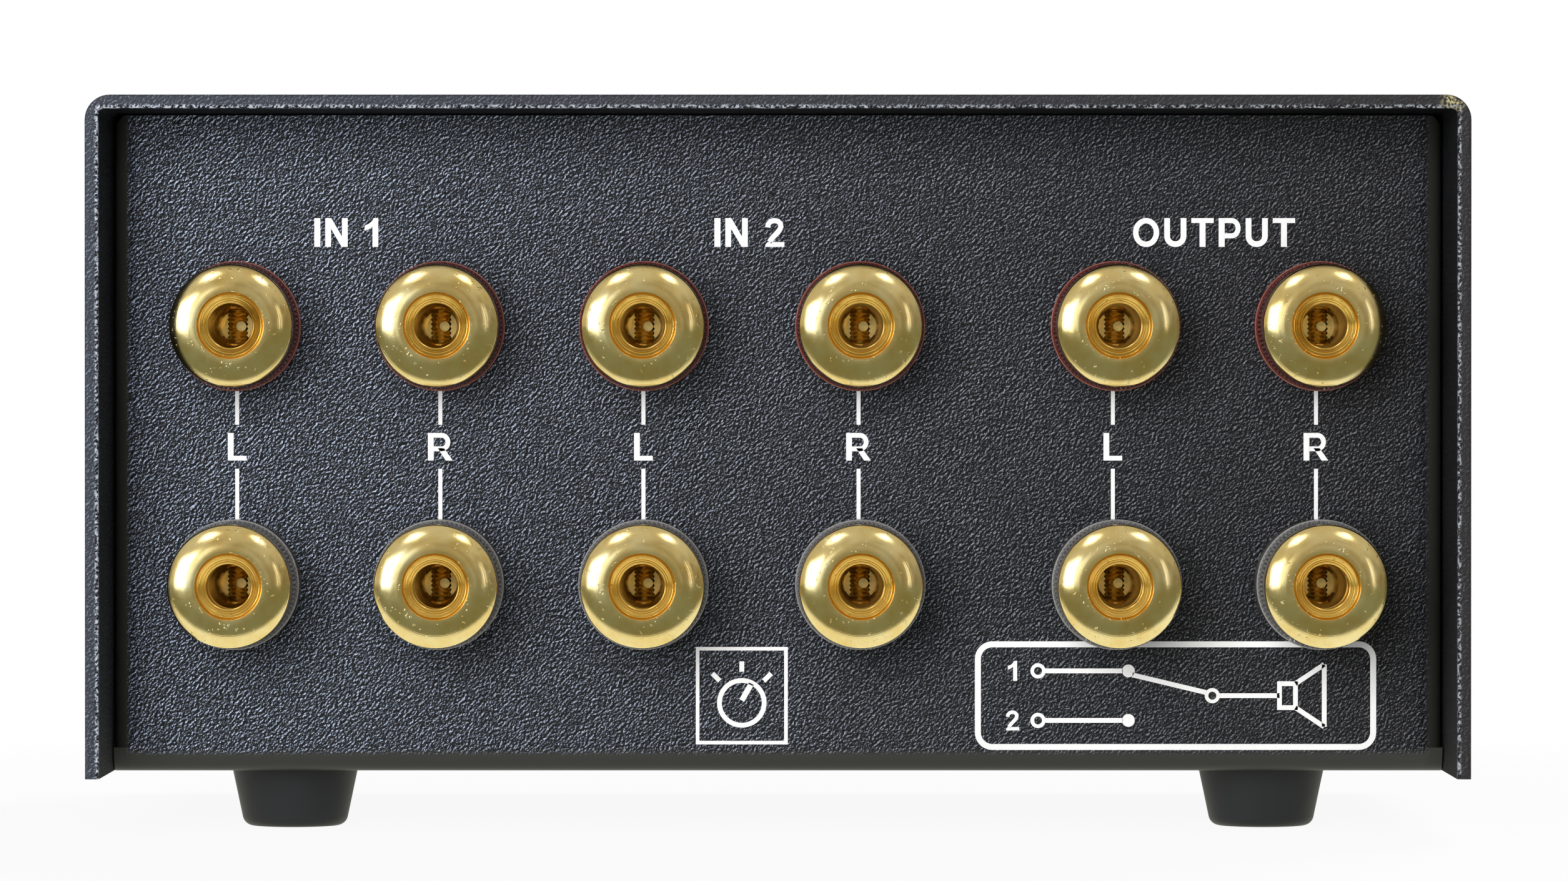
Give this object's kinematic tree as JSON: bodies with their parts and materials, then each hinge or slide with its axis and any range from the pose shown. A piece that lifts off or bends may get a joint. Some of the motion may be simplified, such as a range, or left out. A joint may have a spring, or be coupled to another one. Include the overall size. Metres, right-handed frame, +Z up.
{
  "type": "speaker selector switch",
  "caption": "Two-input stereo speaker selector box with screw-down binding posts on a recessed rear panel and a rotary selector knob on the front.",
  "frame": {"origin": "on the surface that the feet stand on, under the middle of the overall box", "axes": "-Y out of the rear panel with the binding posts, +Y out of the front with the selector knob, +X to the right seen from the rear, +Z up"},
  "size_m": [0.1738, 0.14, 0.0915],
  "materials": {
    "black_powder_coat": "fine-textured black powder coat",
    "black_anodised_plate": "brushed, black anodised",
    "black_screws": "black oxide",
    "foot_rubber": "matt moulded",
    "gold_plate": "polished gold plate",
    "red_translucent": "clear red",
    "smoke_translucent": "clear smoke",
    "black_nylon": "moulded",
    "tinned_brass": "tinned",
    "red_wire": "smooth",
    "black_wire": "smooth",
    "zinc_steel": "zinc plated",
    "phenolic_board": "phenolic laminate",
    "rotor_nylon": "moulded",
    "turned_aluminium": "turned, satin anodised"
  },
  "bodies": {
    "case": {"chassis": "black_powder_coat", "cover": "black_powder_coat", "front_plate": "black_anodised_plate", "case_screws": "black_screws", "rubber_feet": "foot_rubber", "foot_screws": "zinc_steel", "post_collars_red": "red_translucent", "post_collars_smoke": "smoke_translucent", "post_studs": "gold_plate", "post_insulators": "black_nylon", "post_nuts": "gold_plate", "solder_tags": "tinned_brass", "wires_red": "red_wire", "wires_black": "black_wire", "switch_frame": "zinc_steel", "switch_nut": "zinc_steel", "switch_wafers": "phenolic_board", "switch_contacts": "tinned_brass", "switch_tie_bolts": "zinc_steel", "detent_spring": "zinc_steel"},
    "selector": {"switch_shaft": "zinc_steel", "switch_rotors": "rotor_nylon", "selector_knob": "turned_aluminium", "knob_grub_screw": "black_screws"},
    "washer_plus_1": {"post_washer_plus_1": "gold_plate"},
    "knob_plus_1": {"post_cap_plus_1": "gold_plate", "post_sleeve_plus_1": "smoke_translucent"},
    "washer_plus_2": {"post_washer_plus_2": "gold_plate"},
    "knob_plus_2": {"post_cap_plus_2": "gold_plate", "post_sleeve_plus_2": "smoke_translucent"},
    "washer_plus_3": {"post_washer_plus_3": "gold_plate"},
    "knob_plus_3": {"post_cap_plus_3": "gold_plate", "post_sleeve_plus_3": "smoke_translucent"},
    "washer_plus_4": {"post_washer_plus_4": "gold_plate"},
    "knob_plus_4": {"post_cap_plus_4": "gold_plate", "post_sleeve_plus_4": "smoke_translucent"},
    "washer_plus_5": {"post_washer_plus_5": "gold_plate"},
    "knob_plus_5": {"post_cap_plus_5": "gold_plate", "post_sleeve_plus_5": "smoke_translucent"},
    "washer_plus_6": {"post_washer_plus_6": "gold_plate"},
    "knob_plus_6": {"post_cap_plus_6": "gold_plate", "post_sleeve_plus_6": "smoke_translucent"},
    "washer_minus_1": {"post_washer_minus_1": "gold_plate"},
    "knob_minus_1": {"post_cap_minus_1": "gold_plate", "post_sleeve_minus_1": "smoke_translucent"},
    "washer_minus_2": {"post_washer_minus_2": "gold_plate"},
    "knob_minus_2": {"post_cap_minus_2": "gold_plate", "post_sleeve_minus_2": "smoke_translucent"},
    "washer_minus_3": {"post_washer_minus_3": "gold_plate"},
    "knob_minus_3": {"post_cap_minus_3": "gold_plate", "post_sleeve_minus_3": "smoke_translucent"},
    "washer_minus_4": {"post_washer_minus_4": "gold_plate"},
    "knob_minus_4": {"post_cap_minus_4": "gold_plate", "post_sleeve_minus_4": "smoke_translucent"},
    "washer_minus_5": {"post_washer_minus_5": "gold_plate"},
    "knob_minus_5": {"post_cap_minus_5": "gold_plate", "post_sleeve_minus_5": "smoke_translucent"},
    "washer_minus_6": {"post_washer_minus_6": "gold_plate"},
    "knob_minus_6": {"post_cap_minus_6": "gold_plate", "post_sleeve_minus_6": "smoke_translucent"}
  },
  "joints": [
    {"name": "selector_turn", "type": "hinge", "parent": "case", "child": "selector", "pos_m": [0, 0.053, 0.0495], "axis": [0, 1, 0], "range_deg": [-30, 30]},
    {"name": "travel_plus_1", "type": "slide", "parent": "case", "child": "washer_plus_1", "axis": [0, -1, 0], "range_m": [0, 0.0045]},
    {"name": "unscrew_plus_1", "type": "hinge", "parent": "washer_plus_1", "child": "knob_plus_1", "pos_m": [-0.0675, -0.06, 0.0632], "axis": [0, -1, 0], "range_deg": [0, 2160.1]},
    {"name": "travel_plus_2", "type": "slide", "parent": "case", "child": "washer_plus_2", "axis": [0, -1, 0], "range_m": [0, 0.0045]},
    {"name": "unscrew_plus_2", "type": "hinge", "parent": "washer_plus_2", "child": "knob_plus_2", "pos_m": [-0.0421, -0.06, 0.0632], "axis": [0, -1, 0], "range_deg": [0, 2160.1]},
    {"name": "travel_plus_3", "type": "slide", "parent": "case", "child": "washer_plus_3", "axis": [0, -1, 0], "range_m": [0, 0.0045]},
    {"name": "unscrew_plus_3", "type": "hinge", "parent": "washer_plus_3", "child": "knob_plus_3", "pos_m": [-0.0167, -0.06, 0.0632], "axis": [0, -1, 0], "range_deg": [0, 2160.1]},
    {"name": "travel_plus_4", "type": "slide", "parent": "case", "child": "washer_plus_4", "axis": [0, -1, 0], "range_m": [0, 0.0045]},
    {"name": "unscrew_plus_4", "type": "hinge", "parent": "washer_plus_4", "child": "knob_plus_4", "pos_m": [0.0102, -0.06, 0.0632], "axis": [0, -1, 0], "range_deg": [0, 2160.1]},
    {"name": "travel_plus_5", "type": "slide", "parent": "case", "child": "washer_plus_5", "axis": [0, -1, 0], "range_m": [0, 0.0045]},
    {"name": "unscrew_plus_5", "type": "hinge", "parent": "washer_plus_5", "child": "knob_plus_5", "pos_m": [0.042, -0.06, 0.0632], "axis": [0, -1, 0], "range_deg": [0, 2160.1]},
    {"name": "travel_plus_6", "type": "slide", "parent": "case", "child": "washer_plus_6", "axis": [0, -1, 0], "range_m": [0, 0.0045]},
    {"name": "unscrew_plus_6", "type": "hinge", "parent": "washer_plus_6", "child": "knob_plus_6", "pos_m": [0.0674, -0.06, 0.0632], "axis": [0, -1, 0], "range_deg": [0, 2160.1]},
    {"name": "travel_minus_1", "type": "slide", "parent": "case", "child": "washer_minus_1", "axis": [0, -1, 0], "range_m": [-0.00375, 0.00075]},
    {"name": "unscrew_minus_1", "type": "hinge", "parent": "washer_minus_1", "child": "knob_minus_1", "pos_m": [-0.0675, -0.06, 0.0311], "axis": [0, -1, 0], "range_deg": [-1800.1, 360.1]},
    {"name": "travel_minus_2", "type": "slide", "parent": "case", "child": "washer_minus_2", "axis": [0, -1, 0], "range_m": [-0.00375, 0.00075]},
    {"name": "unscrew_minus_2", "type": "hinge", "parent": "washer_minus_2", "child": "knob_minus_2", "pos_m": [-0.0421, -0.06, 0.0311], "axis": [0, -1, 0], "range_deg": [-1800.1, 360.1]},
    {"name": "travel_minus_3", "type": "slide", "parent": "case", "child": "washer_minus_3", "axis": [0, -1, 0], "range_m": [-0.00375, 0.00075]},
    {"name": "unscrew_minus_3", "type": "hinge", "parent": "washer_minus_3", "child": "knob_minus_3", "pos_m": [-0.0167, -0.06, 0.0311], "axis": [0, -1, 0], "range_deg": [-1800.1, 360.1]},
    {"name": "travel_minus_4", "type": "slide", "parent": "case", "child": "washer_minus_4", "axis": [0, -1, 0], "range_m": [-0.00375, 0.00075]},
    {"name": "unscrew_minus_4", "type": "hinge", "parent": "washer_minus_4", "child": "knob_minus_4", "pos_m": [0.0102, -0.06, 0.0311], "axis": [0, -1, 0], "range_deg": [-1800.1, 360.1]},
    {"name": "travel_minus_5", "type": "slide", "parent": "case", "child": "washer_minus_5", "axis": [0, -1, 0], "range_m": [-0.00375, 0.00075]},
    {"name": "unscrew_minus_5", "type": "hinge", "parent": "washer_minus_5", "child": "knob_minus_5", "pos_m": [0.042, -0.06, 0.0311], "axis": [0, -1, 0], "range_deg": [-1800.1, 360.1]},
    {"name": "travel_minus_6", "type": "slide", "parent": "case", "child": "washer_minus_6", "axis": [0, -1, 0], "range_m": [-0.00375, 0.00075]},
    {"name": "unscrew_minus_6", "type": "hinge", "parent": "washer_minus_6", "child": "knob_minus_6", "pos_m": [0.0674, -0.06, 0.0311], "axis": [0, -1, 0], "range_deg": [-1800.1, 360.1]}
  ],
  "couplings": [
    {"joint": "unscrew_plus_1", "follows": "travel_plus_1", "rad_per_m": 8377.6},
    {"joint": "unscrew_plus_2", "follows": "travel_plus_2", "rad_per_m": 8377.6},
    {"joint": "unscrew_plus_3", "follows": "travel_plus_3", "rad_per_m": 8377.6},
    {"joint": "unscrew_plus_4", "follows": "travel_plus_4", "rad_per_m": 8377.6},
    {"joint": "unscrew_plus_5", "follows": "travel_plus_5", "rad_per_m": 8377.6},
    {"joint": "unscrew_plus_6", "follows": "travel_plus_6", "rad_per_m": 8377.6},
    {"joint": "unscrew_minus_1", "follows": "travel_minus_1", "rad_per_m": 8377.6},
    {"joint": "unscrew_minus_2", "follows": "travel_minus_2", "rad_per_m": 8377.6},
    {"joint": "unscrew_minus_3", "follows": "travel_minus_3", "rad_per_m": 8377.6},
    {"joint": "unscrew_minus_4", "follows": "travel_minus_4", "rad_per_m": 8377.6},
    {"joint": "unscrew_minus_5", "follows": "travel_minus_5", "rad_per_m": 8377.6},
    {"joint": "unscrew_minus_6", "follows": "travel_minus_6", "rad_per_m": 8377.6}
  ]
}
